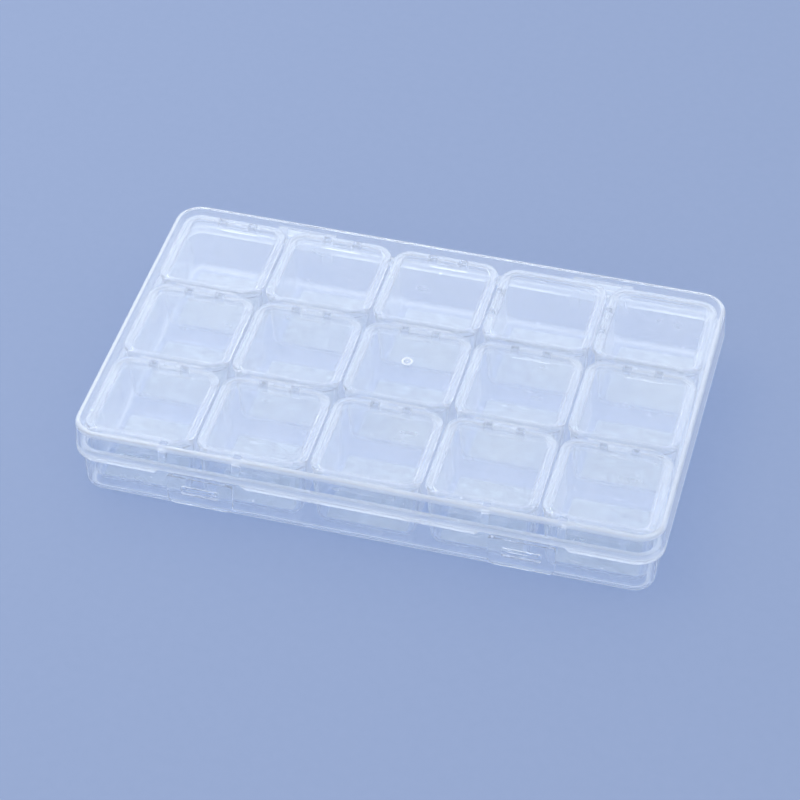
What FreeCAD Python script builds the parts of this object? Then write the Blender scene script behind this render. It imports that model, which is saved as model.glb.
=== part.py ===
"""Craft organizer: a flat hinged case of clear plastic with fifteen small lidded boxes inside.

The case stands on z = 0 with its middle on the z axis, its latches towards -Y and its hinges towards +Y.
Every size is in millimetres, every draft in degrees.
"""

import FreeCAD, Part
import Sketcher
import os
import re

COLUMNS = 5
ROWS = ("front", "middle", "back")
# These two boxes lie turned, with the opening tab to the right; all the others have it to the front.
TURNED = (("back", 4), ("back", 5))
QUARTER_TURN = 90

SIZES = {
    # Small boxes, shared by tub and lid
    "box_side": (33.6, "outside of a small lid, both ways"),
    "box_gap": (0.8, "free space between two small lids"),
    "box_corner": (5.6, "corner radius of a small lid"),
    "box_overhang": (0.4, "small lid stands out past its tub"),
    # Small tub
    "tub_height": (19.4, "height of a tub without its lid"),
    "tub_wall": (0.9, "tub wall"),
    "tub_floor": (0.9, "tub floor"),
    "tub_draft": (4.5, "slope of the tub walls"),
    "tub_foot_round": (2.8, "rounding under the tub"),
    # Small lid
    "box_lid_height": (2.2, "height of a small lid above its tub"),
    "box_lid_round": (1.0, "rounding of a small lid's edge"),
    "panel_border": (3.0, "width of the raised border"),
    "panel_depth": (0.6, "panel lies this deep in the border"),
    "panel_corner": (2.6, "corner radius of the panel"),
    "panel_thickness": (0.9, "thickness of the panel"),
    "plug_depth": (1.2, "lip that reaches down into the tub"),
    "plug_wall": (0.8, "thickness of that lip"),
    "plug_clearance": (0.3, "room between lip and tub"),
    "tab_width": (19.6, "width of the opening tab"),
    "tab_drop": (2.4, "tab reaches this far below the tub's rim"),
    "tab_thickness": (0.55, "thickness of the tab"),
    "tab_clearance": (0.25, "room between tab and tub"),
    "tab_headroom": (0.6, "tab ends this far below the lid's top"),
    "tab_footroom": (0.2, "root of the tab starts this far above the rim"),
    # Hinge of a small box
    "barrel_length": (7.0, "length of the lid's border between the ears"),
    "ear_radius": (1.0, "radius of the ears' heads"),
    "ear_lift": (0.15, "room between the ears' heads and the rim"),
    "tub_ear_width": (2.1, "width of one ear on the tub"),
    "tub_ear_gap": (0.3, "room beside an ear"),
    "tub_ear_drop": (3.0, "ears and the bar between them reach this far down the back wall"),
    "tub_bar_top": (1.2, "that bar starts this far below the rim"),
    "stub_radius": (0.5, "radius of the stub pins on the ears"),
    "stub_length": (1.5, "length of a stub pin"),
    "stub_clearance": (0.06, "room round a stub pin"),
    "slot_gap": (0.6, "room in front of an ear's head in its slot"),
    # Base of the case
    "base_height": (15.8, "height of the base up to the seam"),
    "base_floor": (1.2, "floor of the base"),
    "base_wall": (1.2, "wall of the base"),
    "base_draft": (2.0, "slope of the base walls"),
    "base_foot_round": (2.5, "rounding under the base"),
    "flange_width": (1.8, "flange stands out past the base wall"),
    "flange_height": (1.5, "height of the flange"),
    "lip_height": (1.4, "lip that stands up inside the lid"),
    "lip_clearance": (0.3, "room between lip and lid"),
    "end_gap": (0.3, "room between tubs and base, left and right"),
    "back_gap": (0.3, "room behind the tubs"),
    "front_gap": (1.7, "room in front of the tubs"),
    # Lid of the case
    "head_gap": (1.0, "room above the small lids"),
    "case_lid_wall": (1.2, "wall of the lid"),
    "case_lid_top": (1.2, "top of the lid"),
    "case_lid_draft": (3.0, "slope of the lid walls"),
    "case_lid_round": (1.5, "rounding of the lid's top edge"),
    "gate_radius": (1.6, "outer radius of the moulding mark"),
    "gate_line": (0.4, "width of that ring"),
    "gate_depth": (0.2, "depth of that ring"),
    "gate_point": (0.35, "radius of the point in its middle"),
    "gusset_thickness": (2.4, "thickness of a gusset"),
    "gusset_drop": (6.2, "gusset reaches this far down the lid wall"),
    "gusset_offset": (1.2, "gusset stands this far outside the latch"),
    "gusset_gap": (0.1, "gusset ends this far before the small lids"),
    "gusset_root": (0.3, "gusset is sunk this deep in the lid"),
    # Hinges of the case
    "hinge_spacing": (96.0, "between the two hinges"),
    "knuckle_length": (12.0, "length of a knuckle on the lid"),
    "knuckle_radius": (2.4, "radius of knuckle and ears"),
    "knuckle_gap": (0.3, "room between knuckle and case"),
    "hinge_ear_width": (3.0, "width of one ear on the base"),
    "hinge_ear_gap": (0.3, "room between ear and knuckle"),
    "hinge_ear_drop": (5.8, "ear reaches this far below the seam"),
    "hinge_pin_radius": (1.2, "radius of the bar in the knuckle"),
    "hinge_pin_clearance": (0.06, "room round that bar"),
    "hinge_mouth": (1.9, "mouth through which the knuckle snaps on"),
    # Latches
    "latch_spacing": (96.6, "between the two latches"),
    "latch_width": (20.0, "width of a latch"),
    "latch_height": (10.9, "height of a latch"),
    "latch_thickness": (1.2, "thickness of a latch"),
    "latch_foot_corner": (2.5, "lower corner radius"),
    "latch_head_corner": (1.0, "upper corner radius"),
    "latch_side_gap": (2.5, "flange is cut away this far beside a latch"),
    "film_width": (16.0, "width of the film hinge"),
    "film_radius": (0.3, "half the thickness of the film hinge"),
    "film_length": (0.9, "length of the film hinge"),
    "film_gap": (0.1, "room between film hinge and lid"),
    "window_width": (11.5, "window in a latch"),
    "window_height": (3.0, "height of that window"),
    "window_corner": (0.5, "corner radius of that window"),
    "window_drop": (5.2, "window lies this far below the latch's top"),
    "catch_end_gap": (1.25, "room beside the catch in the window"),
    "catch_gap": (0.3, "room above and below the catch"),
    "catch_shortfall": (0.15, "catch ends this far behind the latch"),
    # Working value for cuts
    "overrun": (1.0, "cuts run past the solid by this much"),
}

DERIVED = {
    "pitch": "box_side + box_gap",
    "tub_side": "box_side - 2 * box_overhang",
    "tub_corner": "box_corner - box_overhang",
    "tub_inside": "tub_side - 2 * tub_wall",
    "plug_side": "tub_inside - 2 * plug_clearance",
    "plug_corner": "tub_corner - tub_wall - plug_clearance",
    "panel_side": "box_side - 2 * panel_border",
    "panel_under": "tub_height + box_lid_height - panel_depth - panel_thickness",
    "box_axis_y": "box_side / 2 - ear_radius",
    "box_axis_z": "tub_height + ear_lift + ear_radius",
    "tub_ear_start": "barrel_length / 2 + tub_ear_gap",
    "slot_end": "barrel_length / 2 + tub_ear_width + 2 * tub_ear_gap",
    "slot_front": "box_axis_y - ear_radius - slot_gap",
    "tab_face": "tub_side / 2 + tab_clearance + tab_thickness",
    "base_inside_length": "%d * pitch + tub_side + 2 * end_gap" % (COLUMNS - 1),
    "base_inside_depth": "%d * pitch + tub_side + back_gap + front_gap" % (len(ROWS) - 1),
    "base_inside_corner": "tub_corner + end_gap",
    "base_length": "base_inside_length + 2 * base_wall",
    "base_depth": "base_inside_depth + 2 * base_wall",
    "base_corner": "base_inside_corner + base_wall",
    "case_length": "base_length + 2 * flange_width",
    "case_depth": "base_depth + 2 * flange_width",
    "case_corner": "base_corner + flange_width",
    "lip_inset": "case_lid_wall + lip_clearance",
    "case_height": "base_floor + tub_height + box_lid_height + head_gap + case_lid_top",
    "case_lid_height": "case_height - base_height",
    "case_axis_y": "case_depth / 2 + knuckle_gap + knuckle_radius",
    "hinge_ear_start": "knuckle_length / 2 + hinge_ear_gap",
    "gusset_reach": "front_gap + flange_width + base_wall - case_lid_wall - box_overhang - gusset_gap",
    "latch_axis_y": "latch_thickness / 2 - case_depth / 2",
    "latch_axis_z": "base_height - film_gap - film_radius",
    "window_middle": "film_length + window_drop",
    "catch_width": "window_width - 2 * catch_end_gap",
    "catch_height": "window_height - 2 * catch_gap",
    "catch_middle": "latch_axis_z - window_middle",
    "catch_tip": "latch_thickness + catch_shortfall - case_depth / 2",
    "relief_width": "latch_width + 2 * latch_side_gap",
    # Small rounds, each from the wall that carries it
    "tub_rim_round": "tub_wall / 3",
    "panel_top_round": "panel_depth / 2",
    "panel_foot_round": "panel_depth / 4",
    "plug_round": "plug_wall / 3",
    "tab_round": "tab_thickness / 3",
    "rim_round": "flange_height / 4",
    "latch_round": "latch_thickness / 5",
    "catch_round": "catch_height / 8",
}

doc = FreeCAD.newDocument("craft_organizer")
sheet = doc.addObject("Spreadsheet::Sheet", "Sizes")
for row, (alias, (size, words)) in enumerate(SIZES.items(), start=1):
    sheet.set("A%d" % row, words)
    sheet.set("B%d" % row, str(size))
    sheet.setAlias("B%d" % row, alias)
doc.recompute()


def expression(text):
    """Writes a formula of size names as one that the document understands."""

    def spell_out(match):
        word = match.group(0)
        if word in SIZES:
            return "Sizes." + word
        if word in DERIVED:
            return "(" + expression(DERIVED[word]) + ")"
        return word

    return re.sub(r"[a-z_]+", spell_out, text)


def bind(item, name, text):
    """Ties a property of an object to a formula of size names."""
    item.setExpression(name, expression(text))


def value(text):
    """The present value of a formula of size names."""
    return float(sheet.evalExpression(expression(text)))


def new_body(label, x="0", y="0", z="0", turn=0):
    """A new empty piece, at its place in the object and turned about the vertical."""
    body = doc.addObject("PartDesign::Body", label)
    body.Label = label
    body.Placement.Rotation = FreeCAD.Rotation(FreeCAD.Vector(0, 0, 1), turn)
    bind(body, "Placement.Base.x", x)
    bind(body, "Placement.Base.y", y)
    bind(body, "Placement.Base.z", z)
    return body


def new_sketch(body, role, offset="0"):
    """A sketch on one of the piece's own planes, moved along that plane's normal."""
    sketch = body.newObject("Sketcher::SketchObject", body.Label + "_sketch")
    plane = next(feature for feature in body.Origin.OriginFeatures if feature.Role == role)
    sketch.AttachmentSupport = [(plane, "")]
    sketch.MapMode = "FlatFace"
    bind(sketch, "AttachmentOffset.Base.z", offset)
    return sketch


def hold(sketch, kind, *where, to):
    """A dimension in a sketch, tied to a formula of size names."""
    number = sketch.addConstraint(Sketcher.Constraint(kind, *where, value(to)))
    bind(sketch, "Constraints[%d]" % number, to)


def outline(sketch, points):
    """A closed outline of straight lines through points given as formulas."""
    corners = [FreeCAD.Vector(value(x), value(y), 0) for x, y in points]
    count = len(points)
    for i in range(count):
        sketch.addGeometry(Part.LineSegment(corners[i], corners[(i + 1) % count]))
    for i in range(count):
        sketch.addConstraint(Sketcher.Constraint("Coincident", i, 2, (i + 1) % count, 1))
    for i, (x, y) in enumerate(points):
        hold(sketch, "DistanceX", -1, 1, i, 1, to=x)
        hold(sketch, "DistanceY", -1, 1, i, 1, to=y)
    return sketch


def disc(sketch, x, y, radius):
    """A circle about a point given as formulas."""
    middle = FreeCAD.Vector(value(x), value(y), 0)
    number = sketch.addGeometry(Part.Circle(middle, FreeCAD.Vector(0, 0, 1), value(radius)))
    hold(sketch, "DistanceX", -1, 1, number, 3, to=x)
    hold(sketch, "DistanceY", -1, 1, number, 3, to=y)
    hold(sketch, "Radius", number, to=radius)
    return sketch


def rounded(sketch, length, depth, corner, y="0"):
    """A rectangle with round corners about the point (0, y): four lines joined by four quarter circles."""
    half_length = value(length) / 2
    half_depth = value(depth) / 2
    radius = value(corner)
    middle = value(y)
    first = sketch.GeometryCount
    up = FreeCAD.Vector(0, 0, 1)
    # Anticlockwise from the lower side; each side is followed by the corner that it runs into.
    signs = ((1, -1), (1, 1), (-1, 1), (-1, -1))
    across = half_length - radius
    along = half_depth - radius
    centres = [FreeCAD.Vector(sx * across, middle + sy * along, 0) for sx, sy in signs]
    for i, centre in enumerate(centres):
        before = centres[i - 1]
        outward = FreeCAD.Rotation(up, QUARTER_TURN * i).multVec(FreeCAD.Vector(0, -radius, 0))
        sketch.addGeometry(Part.LineSegment(before + outward, centre + outward))
        circle = Part.Circle(centre, up, radius)
        turns = [FreeCAD.Units.Quantity(QUARTER_TURN * (i - 1 + k), "deg") for k in (0, 1)]
        sketch.addGeometry(Part.ArcOfCircle(circle, *[turn.getValueAs("rad").Value for turn in turns]))
    lines = [first + 2 * i for i in range(4)]
    arcs = [first + 2 * i + 1 for i in range(4)]
    for i in range(4):
        sketch.addConstraint(Sketcher.Constraint("Tangent", lines[i], 2, arcs[i], 1))
        sketch.addConstraint(Sketcher.Constraint("Tangent", arcs[i], 2, lines[(i + 1) % 4], 1))
    for i in (0, 2):
        sketch.addConstraint(Sketcher.Constraint("Horizontal", lines[i]))
        sketch.addConstraint(Sketcher.Constraint("Vertical", lines[i + 1]))
    for arc in arcs[1:]:
        sketch.addConstraint(Sketcher.Constraint("Equal", arcs[0], arc))
    hold(sketch, "Radius", arcs[0], to=corner)
    half = "(%s) / 2"
    hold(sketch, "DistanceX", -1, 1, lines[1], 1, to=half % length)
    hold(sketch, "DistanceX", -1, 1, lines[3], 1, to="-" + half % length)
    hold(sketch, "DistanceY", -1, 1, lines[0], 1, to=y + " - " + half % depth)
    hold(sketch, "DistanceY", -1, 1, lines[2], 1, to=y + " + " + half % depth)
    return sketch


def extrude(body, kind, sketch, length, back=False, both=False, taper=None):
    """Pads or pockets a sketch: along its normal or back, or to both sides, with an optional draft."""
    feature = body.newObject("PartDesign::" + kind, body.Label + "_" + kind.lower())
    feature.Profile = sketch
    bind(feature, "Length", length)
    feature.SideType = "Symmetric" if both else "One side"
    feature.Reversed = back
    if taper:
        bind(feature, "TaperAngle", taper)
    body.Tip = feature
    return feature


def pad(body, sketch, length, **how):
    """Adds a sketch as material."""
    return extrude(body, "Pad", sketch, length, **how)


def pocket(body, sketch, length, **how):
    """Takes a sketch away."""
    return extrude(body, "Pocket", sketch, length, **how)


def round_edges(body, radius, chosen):
    """Rounds those edges of the piece so far that the given test chooses."""
    doc.recompute()
    base = body.Tip
    names = ["Edge%d" % i for i, edge in enumerate(base.Shape.Edges, start=1) if chosen(edge)]
    feature = body.newObject("PartDesign::Fillet", body.Label + "_fillet")
    feature.Base = (base, names)
    bind(feature, "Radius", radius)
    body.Tip = feature
    return feature


def level(height, within=None, beyond=None):
    """A test for edges that lie flat at a height: all, or those inside or outside a length and depth."""
    wanted = value(height)
    near = value("overrun") / 1000

    def reaches(box, sizes):
        across, along = (value(size) / 2 - near for size in sizes)
        return max(box.XMax, -box.XMin) > across or max(box.YMax, -box.YMin) > along

    def chosen(edge):
        box = edge.BoundBox
        if abs(box.ZMin - wanted) > near or abs(box.ZMax - wanted) > near:
            return False
        if within:
            return not reaches(box, [size + " + overrun" for size in within])
        return beyond is None or reaches(box, beyond)

    return chosen


def upright(y):
    """A test for edges that lie in the upright plane at a y given as a formula."""
    wanted = value(y)
    near = value("overrun") / 1000

    def chosen(edge):
        box = edge.BoundBox
        return abs(box.YMin - wanted) < near and abs(box.YMax - wanted) < near

    return chosen


def mirror_sides(body, features):
    """Repeats features on the other side of the piece's own YZ plane."""
    mirrored = body.newObject("PartDesign::Mirrored", body.Label + "_mirrored")
    mirrored.Originals = features
    plane = next(feature for feature in body.Origin.OriginFeatures if feature.Role == "YZ_Plane")
    mirrored.MirrorPlane = (plane, [""])
    body.Tip = mirrored
    return mirrored


def make_copy(pattern, row, column):
    """A copy of a small piece, where its box stands in the base and turned as its box is."""
    x = "%g * (pitch)" % (column - (COLUMNS + 1) / 2)
    y = "%g * (pitch) + (front_gap - back_gap) / 2" % (ROWS.index(row) - (len(ROWS) - 1) / 2)
    turn = QUARTER_TURN if (row, column) in TURNED else 0
    copy = new_body("%s_%s_%d" % (pattern.Label, row, column), x=x, y=y, z="base_floor", turn=turn)
    copy.BaseFeature = pattern
    return copy


def make_tub():
    """An open tub with sloping walls, and two ears with stub pins that carry its lid, joined by a bar."""
    tub = new_body("tub")
    rim = rounded(new_sketch(tub, "XY_Plane", "tub_height"), "tub_side", "tub_side", "tub_corner")
    pad(tub, rim, "tub_height", back=True, taper="-tub_draft")
    round_edges(tub, "tub_foot_round", level("0"))
    inside = new_sketch(tub, "XY_Plane", "tub_height")
    rounded(inside, "tub_inside", "tub_inside", "tub_corner - tub_wall")
    pocket(tub, inside, "tub_height - tub_floor", taper="-tub_draft")
    round_edges(tub, "tub_foot_round - tub_wall", level("tub_floor"))
    round_edges(tub, "tub_rim_round", level("tub_height"))
    # One ear on the right: a block on the back wall, its round head and a stub pin.
    ear_side = new_sketch(tub, "YZ_Plane", "tub_ear_start")
    outline(
        ear_side,
        [
            ("box_axis_y - ear_radius", "box_axis_z"),
            ("box_axis_y - ear_radius", "tub_height + ear_lift"),
            ("tub_inside / 2", "tub_height - tub_bar_top"),
            ("tub_inside / 2", "tub_height - tub_ear_drop"),
            ("box_side / 2", "tub_height - tub_ear_drop"),
            ("box_side / 2", "box_axis_z"),
        ],
    )
    ear = pad(tub, ear_side, "tub_ear_width")
    head_side = disc(new_sketch(tub, "YZ_Plane", "tub_ear_start"), "box_axis_y", "box_axis_z", "ear_radius")
    head = pad(tub, head_side, "tub_ear_width")
    stub_side = disc(new_sketch(tub, "YZ_Plane", "tub_ear_start"), "box_axis_y", "box_axis_z", "stub_radius")
    stub = pad(tub, stub_side, "stub_length + tub_ear_gap", back=True)
    mirror_sides(tub, [ear, head, stub])
    bar_side = new_sketch(tub, "YZ_Plane")
    outline(
        bar_side,
        [
            ("tub_inside / 2", "tub_height - tub_ear_drop"),
            ("box_side / 2", "tub_height - tub_ear_drop"),
            ("box_side / 2", "tub_height - tub_bar_top"),
            ("tub_inside / 2", "tub_height - tub_bar_top"),
        ],
    )
    pad(tub, bar_side, "2 * tub_ear_start + tub_ear_width", both=True)
    return tub


def make_tub_lid():
    """A small lid: a rounded border with a sunk panel, a lip into the tub, a tab and two hinge slots."""
    lid = new_body("tub_lid")
    frame = rounded(new_sketch(lid, "XY_Plane", "tub_height"), "box_side", "box_side", "box_corner")
    pad(lid, frame, "box_lid_height")
    round_edges(lid, "box_lid_round", level("tub_height"))
    round_edges(lid, "box_lid_round", level("tub_height + box_lid_height"))
    panel = new_sketch(lid, "XY_Plane", "tub_height + box_lid_height")
    pocket(lid, rounded(panel, "panel_side", "panel_side", "panel_corner"), "panel_depth")
    step = ("panel_side", "panel_side")
    round_edges(lid, "panel_top_round", level("tub_height + box_lid_height", within=step))
    round_edges(lid, "panel_foot_round", level("tub_height + box_lid_height - panel_depth", within=step))
    lip = rounded(new_sketch(lid, "XY_Plane", "tub_height"), "plug_side", "plug_side", "plug_corner")
    pad(lid, lip, "plug_depth", back=True)
    hollow = new_sketch(lid, "XY_Plane", "tub_height - plug_depth")
    rounded(hollow, "plug_side - 2 * plug_wall", "plug_side - 2 * plug_wall", "plug_corner - plug_wall")
    pocket(lid, hollow, "panel_under - tub_height + plug_depth", back=True)
    round_edges(lid, "plug_round", level("tub_height - plug_depth"))
    tab_side = new_sketch(lid, "YZ_Plane")
    outline(
        tab_side,
        [
            ("-tab_face", "tub_height - tab_drop"),
            ("tab_thickness - tab_face", "tub_height - tab_drop"),
            ("tab_thickness - tab_face", "tub_height + tab_footroom"),
            ("box_lid_round - box_side / 2", "tub_height + tab_footroom"),
            ("box_lid_round - box_side / 2", "tub_height + box_lid_height - tab_headroom"),
            ("-tab_face", "tub_height + box_lid_height - tab_headroom"),
        ],
    )
    pad(lid, tab_side, "tab_width", both=True)
    round_edges(lid, "tab_round", upright("-tab_face"))
    # Two slots through the back border take the tub's ears; the border between them turns on the stub pins.
    slot = new_sketch(lid, "XY_Plane", "tub_height + box_lid_height + overrun")
    outline(
        slot,
        [
            ("barrel_length / 2", "slot_front"),
            ("slot_end", "slot_front"),
            ("slot_end", "box_side / 2 + overrun"),
            ("barrel_length / 2", "box_side / 2 + overrun"),
        ],
    )
    ear_slot = pocket(lid, slot, "box_lid_height + plug_depth + 2 * overrun")
    bore_side = new_sketch(lid, "YZ_Plane", "barrel_length / 2")
    disc(bore_side, "box_axis_y", "box_axis_z", "stub_radius + stub_clearance")
    bore = pocket(lid, bore_side, "stub_length + tub_ear_gap")
    mirror_sides(lid, [ear_slot, bore])
    return lid


def make_case_base():
    """The base: a drafted tray with a flange, a lip into the lid, two catches and two pairs of hinge ears."""
    base = new_body("case_base")
    wall = rounded(new_sketch(base, "XY_Plane", "base_height"), "base_length", "base_depth", "base_corner")
    pad(base, wall, "base_height", back=True, taper="-base_draft")
    round_edges(base, "base_foot_round", level("0"))
    flange = rounded(new_sketch(base, "XY_Plane", "base_height"), "case_length", "case_depth", "case_corner")
    pad(base, flange, "flange_height", back=True)
    lip = new_sketch(base, "XY_Plane", "base_height")
    rounded(lip, "case_length - 2 * lip_inset", "case_depth - 2 * lip_inset", "case_corner - lip_inset")
    pad(base, lip, "lip_height")
    for top, depth, taper in (
        ("base_height + lip_height", "lip_height", None),
        ("base_height", "base_height - base_floor", "-base_draft"),
    ):
        inside = new_sketch(base, "XY_Plane", top)
        rounded(inside, "base_inside_length", "base_inside_depth", "base_inside_corner")
        pocket(base, inside, depth, taper=taper)
    round_edges(base, "base_foot_round - base_wall", level("base_floor"))
    rim = ("case_length", "case_depth")
    for height in ("base_height", "base_height - flange_height"):
        round_edges(base, "rim_round", level(height, beyond=rim))
    round_edges(base, "rim_round", level("base_height + lip_height"))
    for side in (-1, 1):
        latch_x = "%d * latch_spacing / 2" % side
        relief = new_sketch(base, "XZ_Plane", "case_depth / 2 + overrun")
        outline(
            relief,
            [
                (latch_x + " - relief_width / 2", "base_height"),
                (latch_x + " - relief_width / 2 - flange_height", "base_height - flange_height"),
                (latch_x + " + relief_width / 2 + flange_height", "base_height - flange_height"),
                (latch_x + " + relief_width / 2", "base_height"),
            ],
        )
        pocket(base, relief, "flange_width + overrun")
        catch_side = new_sketch(base, "YZ_Plane", latch_x)
        outline(
            catch_side,
            [
                ("base_wall / 2 - base_depth / 2", "catch_middle + catch_height / 2"),
                ("catch_tip", "catch_middle"),
                ("catch_tip", "catch_middle - catch_height / 2"),
                ("base_wall / 2 - base_depth / 2", "catch_middle - catch_height / 2"),
            ],
        )
        pad(base, catch_side, "catch_width", both=True)
        hinge_x = "%d * hinge_spacing / 2" % side
        for ear_x, away in ((hinge_x + " - hinge_ear_start", True), (hinge_x + " + hinge_ear_start", False)):
            ear_side = new_sketch(base, "YZ_Plane", ear_x)
            outline(
                ear_side,
                [
                    ("base_depth / 2 - base_wall / 2", "base_height - hinge_ear_drop"),
                    ("case_axis_y", "base_height - knuckle_radius"),
                    ("case_axis_y", "base_height"),
                    ("base_depth / 2 - base_wall / 2", "base_height"),
                ],
            )
            pad(base, ear_side, "hinge_ear_width", back=away)
            head_side = new_sketch(base, "YZ_Plane", ear_x)
            disc(head_side, "case_axis_y", "base_height", "knuckle_radius")
            pad(base, head_side, "hinge_ear_width", back=away)
        bar_side = new_sketch(base, "YZ_Plane", hinge_x)
        disc(bar_side, "case_axis_y", "base_height", "hinge_pin_radius")
        pad(base, bar_side, "knuckle_length + 2 * hinge_ear_gap + hinge_ear_width", both=True)
    tip_edge = upright("catch_tip")
    across = value("catch_width") / 2
    round_edges(base, "catch_round", lambda edge: tip_edge(edge) and edge.BoundBox.XLength > across)
    return base


def make_case_lid():
    """The lid: a drafted cap with four gussets beside the latches and two knuckles that snap on the bars."""
    lid = new_body("case_lid")
    wall = rounded(new_sketch(lid, "XY_Plane", "base_height"), "case_length", "case_depth", "case_corner")
    pad(lid, wall, "case_lid_height", taper="-case_lid_draft")
    round_edges(lid, "case_lid_round", level("case_height"))
    inside = new_sketch(lid, "XY_Plane", "base_height")
    inner_corner = "case_corner - case_lid_wall"
    rounded(inside, "case_length - 2 * case_lid_wall", "case_depth - 2 * case_lid_wall", inner_corner)
    pocket(lid, inside, "case_lid_height - case_lid_top", back=True, taper="-case_lid_draft")
    round_edges(lid, "rim_round", level("base_height", beyond=("case_length", "case_depth")))
    wall_inside = "case_lid_wall - case_depth / 2"
    under_top = "case_height - case_lid_top"
    for side in (-1, 1):
        for beside in (-1, 1):
            rib_x = "%d * latch_spacing / 2 + %d * (latch_width / 2 + gusset_offset)" % (side, beside)
            rib_side = new_sketch(lid, "YZ_Plane", rib_x)
            outline(
                rib_side,
                [
                    (wall_inside + " - gusset_root", under_top + " - gusset_drop"),
                    (wall_inside + " + gusset_reach", under_top + " + gusset_root"),
                    (wall_inside + " - gusset_root", under_top + " + gusset_root"),
                ],
            )
            pad(lid, rib_side, "gusset_thickness", both=True)
        hinge_x = "%d * hinge_spacing / 2" % side
        web_side = new_sketch(lid, "YZ_Plane", hinge_x)
        outline(
            web_side,
            [
                ("case_depth / 2 - case_lid_wall / 2", "base_height"),
                ("case_axis_y", "base_height"),
                ("case_axis_y", "base_height + knuckle_radius"),
                ("case_depth / 2 - case_lid_wall / 2", "base_height + knuckle_radius"),
            ],
        )
        pad(lid, web_side, "knuckle_length", both=True)
        knuckle_side = new_sketch(lid, "YZ_Plane", hinge_x)
        disc(knuckle_side, "case_axis_y", "base_height", "knuckle_radius")
        pad(lid, knuckle_side, "knuckle_length", both=True)
        bore_side = new_sketch(lid, "YZ_Plane", hinge_x)
        disc(bore_side, "case_axis_y", "base_height", "hinge_pin_radius + hinge_pin_clearance")
        pocket(lid, bore_side, "knuckle_length + 2 * overrun", both=True)
        mouth_side = new_sketch(lid, "YZ_Plane", hinge_x)
        outline(
            mouth_side,
            [
                ("case_axis_y - hinge_mouth / 2", "base_height - knuckle_radius - overrun"),
                ("case_axis_y + hinge_mouth / 2", "base_height - knuckle_radius - overrun"),
                ("case_axis_y + hinge_mouth / 2", "base_height"),
                ("case_axis_y - hinge_mouth / 2", "base_height"),
            ],
        )
        pocket(lid, mouth_side, "knuckle_length + 2 * overrun", both=True)
    gate = disc(new_sketch(lid, "XY_Plane", "case_height"), "0", "0", "gate_radius")
    disc(gate, "0", "0", "gate_radius - gate_line")
    disc(gate, "0", "0", "gate_point")
    pocket(lid, gate, "gate_depth")
    return lid


def make_latch(label, side):
    """A latch: a plate with a window for the catch, hung from the lid by a thin film hinge."""
    latch = new_body(label, x="%d * latch_spacing / 2" % side, y="latch_axis_y", z="latch_axis_z")
    plate = new_sketch(latch, "XZ_Plane")
    head = "-film_length"
    foot = "-film_length - latch_height"
    outline(
        plate,
        [
            ("-latch_width / 2", foot),
            ("latch_width / 2", foot),
            ("latch_width / 2", head),
            ("-latch_width / 2", head),
        ],
    )
    pad(latch, plate, "latch_thickness", both=True)
    for radius, height in (("latch_foot_corner", foot), ("latch_head_corner", head)):
        at_height = level(height)
        across = value("latch_width") / 2
        round_edges(latch, radius, lambda edge: at_height(edge) and edge.BoundBox.XLength < across)
    window = rounded(
        new_sketch(latch, "XZ_Plane"), "window_width", "window_height", "window_corner", y="-window_middle"
    )
    pocket(latch, window, "latch_thickness + 2 * overrun", both=True)
    for face in ("-latch_thickness / 2", "latch_thickness / 2"):
        round_edges(latch, "latch_round", upright(face))
    film_side = new_sketch(latch, "YZ_Plane")
    outline(
        film_side,
        [
            ("-film_radius", "-film_length - film_radius"),
            ("film_radius", "-film_length - film_radius"),
            ("film_radius", "0"),
            ("-film_radius", "0"),
        ],
    )
    pad(latch, film_side, "film_width", both=True)
    edge_side = disc(new_sketch(latch, "YZ_Plane"), "0", "0", "film_radius")
    pad(latch, edge_side, "film_width", both=True)
    return latch


pieces = [make_case_base()]
tub = make_tub()
tub_lid = make_tub_lid()
for row in ROWS:
    for column in range(1, COLUMNS + 1):
        pieces.append(make_copy(tub, row, column))
        pieces.append(make_copy(tub_lid, row, column))
pieces.append(make_case_lid())
pieces.append(make_latch("latch_left", -1))
pieces.append(make_latch("latch_right", 1))
doc.recompute()

for item in doc.Objects:
    if "Invalid" in item.State or "Error" in item.State:
        raise RuntimeError("%s was not built: %s" % (item.Label, item.State))
for piece in pieces:
    if piece.Shape.isNull() or not piece.Shape.isValid() or len(piece.Shape.Solids) != 1:
        raise RuntimeError("%s is not one sound solid" % piece.Label)

os.makedirs("parts", exist_ok=True)
for piece in pieces:
    piece.Shape.exportStep("parts/%s.step" % piece.Label)
    print("%-20s %9.1f mm3" % (piece.Label, piece.Shape.Volume))
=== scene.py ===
import math
import bpy
import numpy as np
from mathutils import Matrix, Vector

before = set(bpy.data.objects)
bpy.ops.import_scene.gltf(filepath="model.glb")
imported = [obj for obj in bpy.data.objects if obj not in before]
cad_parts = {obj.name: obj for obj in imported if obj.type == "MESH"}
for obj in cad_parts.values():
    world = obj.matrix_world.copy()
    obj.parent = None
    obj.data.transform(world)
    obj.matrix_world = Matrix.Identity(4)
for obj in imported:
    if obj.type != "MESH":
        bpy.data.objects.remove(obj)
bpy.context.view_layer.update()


# The base of the case is a shallow tray with a flange, a lip, two catches and hinge ears.
# It is injection moulded in one shot from clear polypropylene, so the melt leaves faint clouds and waves
# in it, and use leaves hairline scratches and specks. Its thick foot and flange look whiter than its walls.
CASE_TINTS = ((0.958, 0.976, 1.0, 1.0), (0.976, 0.988, 1.0, 1.0))
BASE_MILK_SHARE = 0.055
RIM_MILK_SHARE = 0.34
EDGE_MILK_SHARE = 0.85
EDGE_POWER = 3.5
BASE_ROUGHNESS = (0.03, 0.08)
PLASTIC_IOR = 1.49
LAMP_PASS = (0.968, 0.977, 0.99, 1.0)
CLOUDS_PER_METRE = 45
CLOUD_DETAIL = 3
HAZE_PER_METRE = 260
HAZE_DETAIL = 4
SCRATCHES_PER_METRE = 95
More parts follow.
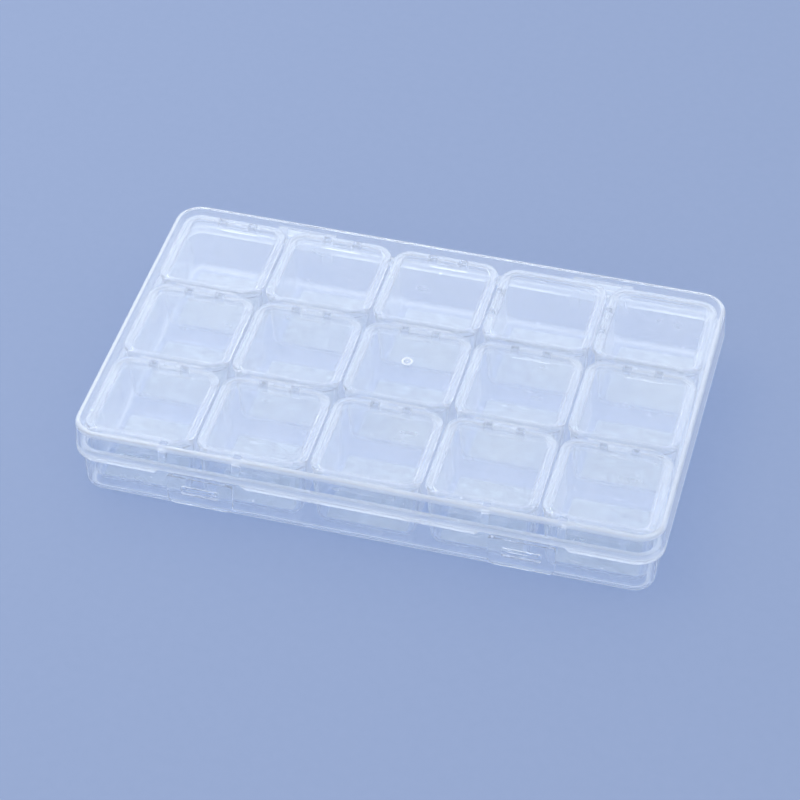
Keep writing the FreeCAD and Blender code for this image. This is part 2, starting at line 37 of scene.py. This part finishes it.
SCRATCH_DETAIL = 1
SCRATCH_STRETCH = 28
SPECKS_PER_METRE = 150
NOISE_MIDDLE = (0.3, 0.7)
SCRATCH_PEAKS = (0.70, 0.76)
SPECK_REACH = (0.045, 0.02)
SCRATCH_DULL_SHARE = 0.18
SPECK_DULL_SHARE = 0.25
MARK_HEIGHT_SHARE = 0.2
WAVE_HEIGHT_SHARE = 0.2
BUMP_STRENGTH = 0.1
BUMP_DEPTH = 0.0001
BASE_SCRATCH_TURN = 0.4
BASE_HALF_LENGTH = 0.0862
BASE_HALF_DEPTH = 0.0525
BASE_CORNER = 0.0062
BASE_FOOT_REACH = 0.0026
BASE_FOOT_TOP = 0.0018
FLANGE_UNDER = 0.0147
RIM_FADE = 0.0003
OVER_ANY_HEIGHT = 1.0


def object_place(look):
    """A material's Object coordinates, which stay with the piece as it moves."""
    return look.node_tree.nodes.new("ShaderNodeTexCoord").outputs["Object"]


def noise(look, place, per_metre, detail):
    """Nodes for a noise of so many waves in a metre."""
    texture = look.node_tree.nodes.new("ShaderNodeTexNoise")
    texture.inputs["Scale"].default_value = per_metre
    texture.inputs["Detail"].default_value = detail
    look.node_tree.links.new(place, texture.inputs["Vector"])
    return texture.outputs["Fac"]


def between(look, value, start, end, low=0, high=1):
    """Nodes that turn a value from low at the start to high at the end, and hold it outside."""
    step = look.node_tree.nodes.new("ShaderNodeMapRange")
    step.inputs["From Min"].default_value = start
    step.inputs["From Max"].default_value = end
    step.inputs["To Min"].default_value = low
    step.inputs["To Max"].default_value = high
    look.node_tree.links.new(value, step.inputs["Value"])
    return step.outputs["Result"]


def combine(look, operation, *values):
    """A node that works out one number from sockets and plain numbers."""
    number = look.node_tree.nodes.new("ShaderNodeMath")
    number.operation = operation
    for socket, value in zip(number.inputs, values):
        if isinstance(value, bpy.types.NodeSocket):
            look.node_tree.links.new(value, socket)
        else:
            socket.default_value = value
    return number.outputs["Value"]


def along(look, operation, vector, *amounts):
    """A node that works out one vector, or its length, from another and from plain vectors."""
    arrow = look.node_tree.nodes.new("ShaderNodeVectorMath")
    arrow.operation = operation
    look.node_tree.links.new(vector, arrow.inputs[0])
    for socket, amount in zip(arrow.inputs[1:], amounts):
        socket.default_value = amount
    return arrow.outputs["Value" if operation == "LENGTH" else "Vector"]


def parts_of(look, vector):
    """A node that gives the X, Y and Z of a vector by name."""
    axes = look.node_tree.nodes.new("ShaderNodeSeparateXYZ")
    look.node_tree.links.new(vector, axes.inputs["Vector"])
    return axes.outputs


def clear_plastic(name, tints, milk_share, roughness, scratch_turn):
    """A see-through moulded plastic.

    Slow noise makes the clouds of the melt and tints the colour, finer noise spreads the roughness
    between its two ends, noise drawn out along one direction and cut off at its peaks makes hairline
    scratches, and the middles of scattered cells make specks. Clouds, scratches and specks add up to
    the height of the bump. Where a wall is seen along its face there is more plastic to look through,
    so a power of the slant turns the milk up to the edges' share. Shadow rays and scattered rays pass
    straight through, so that lamps light what lies inside.
    """
    look = bpy.data.materials.new(name)
    look.use_nodes = True
    nodes = look.node_tree.nodes
    link = look.node_tree.links.new
    plastic = nodes["Principled BSDF"]
    place = object_place(look)

    clouds = noise(look, place, CLOUDS_PER_METRE, CLOUD_DETAIL)
    colour = nodes.new("ShaderNodeValToRGB")
    for element, position, tint in zip(colour.color_ramp.elements, NOISE_MIDDLE, tints):
        element.position = position
        element.color = tint
    link(clouds, colour.inputs["Fac"])
    link(colour.outputs["Color"], plastic.inputs["Base Color"])

    drawn_out = nodes.new("ShaderNodeMapping")
    drawn_out.inputs["Rotation"].default_value = (0, 0, scratch_turn)
    drawn_out.inputs["Scale"].default_value = (1, SCRATCH_STRETCH, 1)
    link(place, drawn_out.inputs["Vector"])
    scratches = noise(look, drawn_out.outputs["Vector"], SCRATCHES_PER_METRE, SCRATCH_DETAIL)
    scratches = between(look, scratches, *SCRATCH_PEAKS)

    cells = nodes.new("ShaderNodeTexVoronoi")
    cells.inputs["Scale"].default_value = SPECKS_PER_METRE
    link(place, cells.inputs["Vector"])
    specks = between(look, cells.outputs["Distance"], *SPECK_REACH)

    haze = noise(look, place, HAZE_PER_METRE, HAZE_DETAIL)
    haze = between(look, haze, *NOISE_MIDDLE, *roughness)
    dull = combine(look, "MULTIPLY_ADD", specks, SPECK_DULL_SHARE, haze)
    link(combine(look, "MULTIPLY_ADD", scratches, SCRATCH_DULL_SHARE, dull), plastic.inputs["Roughness"])

    waves = combine(look, "MULTIPLY", clouds, WAVE_HEIGHT_SHARE)
    height = combine(look, "MULTIPLY_ADD", specks, MARK_HEIGHT_SHARE, waves)
    height = combine(look, "MULTIPLY_ADD", scratches, MARK_HEIGHT_SHARE, height)
    bump = nodes.new("ShaderNodeBump")
    bump.inputs["Strength"].default_value = BUMP_STRENGTH
    bump.inputs["Distance"].default_value = BUMP_DEPTH
    link(height, bump.inputs["Height"])
    link(bump.outputs["Normal"], plastic.inputs["Normal"])

    slant = nodes.new("ShaderNodeLayerWeight")
    milk = nodes.new("ShaderNodeMix")
    milk.name = "milk"
    milk.inputs["A"].default_value = milk_share
    milk.inputs["B"].default_value = EDGE_MILK_SHARE
    link(combine(look, "POWER", slant.outputs["Facing"], EDGE_POWER), milk.inputs["Factor"])
    link(combine(look, "SUBTRACT", 1, milk.outputs["Result"]), plastic.inputs["Transmission Weight"])
    plastic.inputs["IOR"].default_value = PLASTIC_IOR

    rays = nodes.new("ShaderNodeLightPath")
    passing = nodes.new("ShaderNodeBsdfTransparent")
    passing.inputs["Color"].default_value = LAMP_PASS
    surface = plastic.outputs["BSDF"]
    for kind in ("Is Shadow Ray", "Is Diffuse Ray"):
        either = nodes.new("ShaderNodeMixShader")
        link(rays.outputs[kind], either.inputs["Fac"])
        link(surface, either.inputs[1])
        link(passing.outputs["BSDF"], either.inputs[2])
        surface = either.outputs["Shader"]
    link(surface, nodes["Material Output"].inputs["Surface"])
    return look


def rim_mask(look, half_length, half_depth, corner, reach, low, high):
    """1 in the thick rims of a rounded tray or cap, and 0 elsewhere.

    What is left of the distances from the middle past the straight runs, taken together, is the corner
    radius on the outer wall. Height is left out, because nothing is left of it past a run over any height.
    A rim lies within its reach of that wall, and below the low height or above the high one.
    """
    place = object_place(look)
    straight = (half_length - corner, half_depth - corner, OVER_ANY_HEIGHT)
    past = along(look, "SUBTRACT", along(look, "ABSOLUTE", place), straight)
    radius = along(look, "LENGTH", along(look, "MAXIMUM", past, (0, 0, 0)))
    near_wall = between(look, radius, corner - reach - RIM_FADE, corner - reach)
    height = parts_of(look, place)["Z"]
    under = between(look, height, low + RIM_FADE, low)
    over = between(look, height, high - RIM_FADE, high)
    return combine(look, "MULTIPLY", near_wall, combine(look, "MAXIMUM", under, over))


def set_milk(look, mask, thin_share, thick_share):
    """Turns a plastic's milk from its thin walls' share to its thick places' share by a mask."""
    shares = between(look, mask, 0, 1, thin_share, thick_share)
    look.node_tree.links.new(shares, look.node_tree.nodes["milk"].inputs["A"])


base_plastic = clear_plastic("base_plastic", CASE_TINTS, BASE_MILK_SHARE, BASE_ROUGHNESS, BASE_SCRATCH_TURN)
base_form = (BASE_HALF_LENGTH, BASE_HALF_DEPTH, BASE_CORNER)
base_rims = rim_mask(base_plastic, *base_form, BASE_FOOT_REACH, BASE_FOOT_TOP, FLANGE_UNDER)
set_milk(base_plastic, base_rims, BASE_MILK_SHARE, RIM_MILK_SHARE)
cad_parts["case_base"].material_slots[0].material = base_plastic


# The fifteen tubs stand loose in the base. They are thinner mouldings of a slightly milkier
# polypropylene, with sloping walls and a pair of hinge ears joined by a bar at the back.
TUB_TINTS = ((0.955, 0.974, 1.0, 1.0), (0.974, 0.987, 1.0, 1.0))
TUB_MILK_SHARE = 0.028
TUB_ROUGHNESS = (0.07, 0.15)
TUB_SCRATCH_TURN = 1.2
ROWS = ("front", "middle", "back")
COLUMNS = range(1, 6)
boxes = ["%s_%d" % (row, column) for row in ROWS for column in COLUMNS]

tub_plastic = clear_plastic("tub_plastic", TUB_TINTS, TUB_MILK_SHARE, TUB_ROUGHNESS, TUB_SCRATCH_TURN)
for box in boxes:
    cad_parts["tub_" + box].material_slots[0].material = tub_plastic


# Each tub has its own lid, snapped on the stub pins of the ears: a rounded border round a sunk panel,
# with an opening tab in front. The borders are more than twice as thick as the panels and look white.
LID_TINTS = ((0.96, 0.977, 1.0, 1.0), (0.978, 0.989, 1.0, 1.0))
LID_MILK_SHARE = 0.02
BORDER_MILK_SHARE = 0.11
LID_ROUGHNESS = (0.04, 0.1)
LID_SCRATCH_TURN = 2.1
BOX_PITCH = 0.0344
BOX_MIDDLE_Y = 0.0007
PANEL_HALF = 0.0138
BORDER_START = 0.0142
HALF_PITCH_SHARE = 0.5


def border_mask(look):
    """1 in the thick borders of the small lids, and 0 in their thin panels.

    The place across the case, counted in pitches of the boxes, loses its whole part, so that every box
    repeats one pattern. Its distance from the box's middle, the larger of the two ways, tells the border
    from the panel.
    """
    pitches = (1 / BOX_PITCH, 1 / BOX_PITCH, 0)
    shift = (HALF_PITCH_SHARE, HALF_PITCH_SHARE - BOX_MIDDLE_Y / BOX_PITCH, 0)
    counted = along(look, "MULTIPLY_ADD", object_place(look), pitches, shift)
    repeated = along(look, "FRACTION", counted)
    centred = along(look, "SUBTRACT", repeated, (HALF_PITCH_SHARE, HALF_PITCH_SHARE, 0))
    far = parts_of(look, along(look, "ABSOLUTE", centred))
    larger = combine(look, "MAXIMUM", far["X"], far["Y"])
    return between(look, larger, PANEL_HALF / BOX_PITCH, BORDER_START / BOX_PITCH)


lid_plastic = clear_plastic("small_lid_plastic", LID_TINTS, LID_MILK_SHARE, LID_ROUGHNESS, LID_SCRATCH_TURN)
set_milk(lid_plastic, border_mask(lid_plastic), LID_MILK_SHARE, BORDER_MILK_SHARE)
for box in boxes:
    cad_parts["tub_lid_" + box].material_slots[0].material = lid_plastic


# The lid of the case snaps on the hinge bars of the base. It is the clearest and glossiest moulding, with
# long scratches from being slid about. Its rounded edges, its lower rim and the ring and point that the
# moulding gate has left in the middle look white.
COVER_MILK_SHARE = 0.016
COVER_ROUGHNESS = (0.015, 0.05)
COVER_SCRATCH_TURN = 0.25
COVER_HALF_LENGTH = 0.0883
COVER_HALF_DEPTH = 0.0546
COVER_CORNER = 0.0083
COVER_EDGE_REACH = 0.0015
COVER_RIM_TOP = 0.0164
COVER_EDGE_UNDER = 0.0236
GATE_MILK_SHARE = 0.95
GATE_RADIUS = 0.0014
GATE_HALF_LINE = 0.0003
GATE_UNDER = 0.0246
GATE_FADE = 0.0001


def gate_mask(look):
    """1 in the ring and the point of the moulding gate on the lid's upper face, and 0 elsewhere.

    The distance from the upright through the middle is near the ring's radius, or near zero in the point.
    """
    place = object_place(look)
    radius = along(look, "LENGTH", along(look, "MULTIPLY", place, (1, 1, 0)))
    off_ring = combine(look, "ABSOLUTE", combine(look, "SUBTRACT", radius, GATE_RADIUS))
    nearest = combine(look, "MINIMUM", off_ring, radius)
    line = between(look, nearest, GATE_HALF_LINE + GATE_FADE, GATE_HALF_LINE)
    on_top = between(look, parts_of(look, place)["Z"], GATE_UNDER, GATE_UNDER + GATE_FADE)
    return combine(look, "MULTIPLY", line, on_top)


cover_plastic = clear_plastic(
    "case_lid_plastic", CASE_TINTS, COVER_MILK_SHARE, COVER_ROUGHNESS, COVER_SCRATCH_TURN
)
cover_form = (COVER_HALF_LENGTH, COVER_HALF_DEPTH, COVER_CORNER)
cover_rims = rim_mask(cover_plastic, *cover_form, COVER_EDGE_REACH, COVER_RIM_TOP, COVER_EDGE_UNDER)
cover_rims = combine(cover_plastic, "MULTIPLY", cover_rims, RIM_MILK_SHARE / GATE_MILK_SHARE)
cover_thick = combine(cover_plastic, "MAXIMUM", cover_rims, gate_mask(cover_plastic))
set_milk(cover_plastic, cover_thick, COVER_MILK_SHARE, GATE_MILK_SHARE)
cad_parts["case_lid"].material_slots[0].material = cover_plastic


# The two latches hang from the lid by a film hinge and snap over the catches.
# They are moulded with the lid, of the same plastic, and rubbed duller by fingers.
LATCH_MILK_SHARE = 0.06
LATCH_ROUGHNESS = (0.04, 0.1)
LATCH_SCRATCH_TURN = 1.5

latch_plastic = clear_plastic(
    "latch_plastic", CASE_TINTS, LATCH_MILK_SHARE, LATCH_ROUGHNESS, LATCH_SCRATCH_TURN
)
for side in ("left", "right"):
    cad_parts["latch_" + side].material_slots[0].material = latch_plastic


# The floor is a sheet of pale blue-grey paper with a faint grain, laid flat under the case.
# It is stage, not a piece of the object.
FLOOR_HALF = 3.0
FLOOR_TINTS = ((0.33, 0.40, 0.57, 1.0), (0.35, 0.42, 0.59, 1.0))
FLOOR_GRAINS_PER_METRE = 320
FLOOR_GRAIN_DETAIL = 4
FLOOR_ROUGHNESS = 0.85
FLOOR_GLOSS = 0.1


def level_sheet(name, half):
    """A level square sheet: x and y run from -half to half, and z is zero."""
    x, y = np.meshgrid((-half, half), (-half, half))
    points = np.stack([x.ravel(), y.ravel(), np.zeros(x.size)], axis=1)
    mesh = bpy.data.meshes.new(name)
    mesh.from_pydata(points.tolist(), [], [(0, 1, 3, 2)])
    sheet = bpy.data.objects.new(name, mesh)
    bpy.context.scene.collection.objects.link(sheet)
    return sheet


floor = level_sheet("floor", FLOOR_HALF)
paper = bpy.data.materials.new("floor_paper")
paper.use_nodes = True
paper_shader = paper.node_tree.nodes["Principled BSDF"]
paper_colour = paper.node_tree.nodes.new("ShaderNodeValToRGB")
for element, tint in zip(paper_colour.color_ramp.elements, FLOOR_TINTS):
    element.color = tint
paper_grain = noise(paper, object_place(paper), FLOOR_GRAINS_PER_METRE, FLOOR_GRAIN_DETAIL)
paper.node_tree.links.new(paper_grain, paper_colour.inputs["Fac"])
paper.node_tree.links.new(paper_colour.outputs["Color"], paper_shader.inputs["Base Color"])
paper_shader.inputs["Roughness"].default_value = FLOOR_ROUGHNESS
paper_shader.inputs["Specular IOR Level"].default_value = FLOOR_GLOSS
floor.data.materials.append(paper)


# The studio is a pale tent, a little brighter near the horizon than overhead, with softboxes behind and
# above for the gloss of level faces, strips at the sides for lines on the rounded edges, and a fill in front
# that the gloss doesn't show. The plastic is many layers deep, so light is followed through many faces.
TENT_HORIZON = (0.70, 0.78, 0.92, 1.0)
TENT_ZENITH = (0.60, 0.66, 0.77, 1.0)
FACES_FOLLOWED = 32
SCATTERS_FOLLOWED = 16
CLEAR_FACES_FOLLOWED = 48
LAMPS = {
    # Name: place, width, height, watts and whether the gloss shows it
    "softbox_behind": ((-0.2, 0.75, 0.75), 1.0, 0.5, 1.4, True),
    "softbox_above": ((-0.35, 0.0, 0.7), 0.3, 0.3, 1.0, True),
    "strip_left": ((-0.8, 0.1, 0.3), 0.7, 0.06, 0.6, True),
    "strip_right": ((0.8, 0.1, 0.3), 0.7, 0.06, 0.6, True),
    "fill_in_front": ((0.3, -0.8, 0.5), 0.5, 0.5, 0.8, False),
}

scene = bpy.context.scene
scene.view_settings.view_transform = "Standard"
scene.cycles.caustics_refractive = False
scene.cycles.caustics_reflective = False
scene.cycles.max_bounces = FACES_FOLLOWED
scene.cycles.diffuse_bounces = SCATTERS_FOLLOWED
scene.cycles.glossy_bounces = FACES_FOLLOWED
scene.cycles.transmission_bounces = FACES_FOLLOWED
scene.cycles.transparent_max_bounces = CLEAR_FACES_FOLLOWED

tent = bpy.data.worlds.new("studio_tent")
tent.use_nodes = True
tent_colour = tent.node_tree.nodes.new("ShaderNodeValToRGB")
for element, tint in zip(tent_colour.color_ramp.elements, (TENT_HORIZON, TENT_ZENITH)):
    element.color = tint
tent_direction = tent.node_tree.nodes.new("ShaderNodeTexCoord").outputs["Generated"]
tent.node_tree.links.new(parts_of(tent, tent_direction)["Z"], tent_colour.inputs["Fac"])
tent.node_tree.links.new(tent_colour.outputs["Color"], tent.node_tree.nodes["Background"].inputs["Color"])
scene.world = tent

for name, (place, width, height, watts, shows_in_gloss) in LAMPS.items():
    lamp = bpy.data.lights.new(name, "AREA")
    lamp.shape = "RECTANGLE"
    lamp.size = width
    lamp.size_y = height
    lamp.energy = watts
    holder = bpy.data.objects.new(name, lamp)
    holder.visible_glossy = shows_in_gloss
    holder.location = place
    holder.rotation_euler = (-Vector(place)).to_track_quat("-Z", "Y").to_euler()
    scene.collection.objects.link(holder)


# The camera looks down at the front and a little from the right, as the photograph does.
# Its angles, aim and distance were solved from the even grid of the small lids' panels and the case's edges.
CAMERA_AZIMUTH = math.radians(14.973)
CAMERA_ELEVATION = math.radians(43.309)
CAMERA_AIM = Vector((-0.00109, -0.00414, 0.0125))
CAMERA_DISTANCE = 0.8627
CAMERA_LENS = 128.9

away = Vector((
    math.sin(CAMERA_AZIMUTH) * math.cos(CAMERA_ELEVATION),
    -math.cos(CAMERA_AZIMUTH) * math.cos(CAMERA_ELEVATION),
    math.sin(CAMERA_ELEVATION),
))
camera = bpy.data.objects.new("camera", bpy.data.cameras.new("camera"))
camera.data.lens = CAMERA_LENS
camera.location = CAMERA_AIM + away * CAMERA_DISTANCE
camera.rotation_euler = (-away).to_track_quat("-Z", "Y").to_euler()
scene.collection.objects.link(camera)
scene.camera = camera
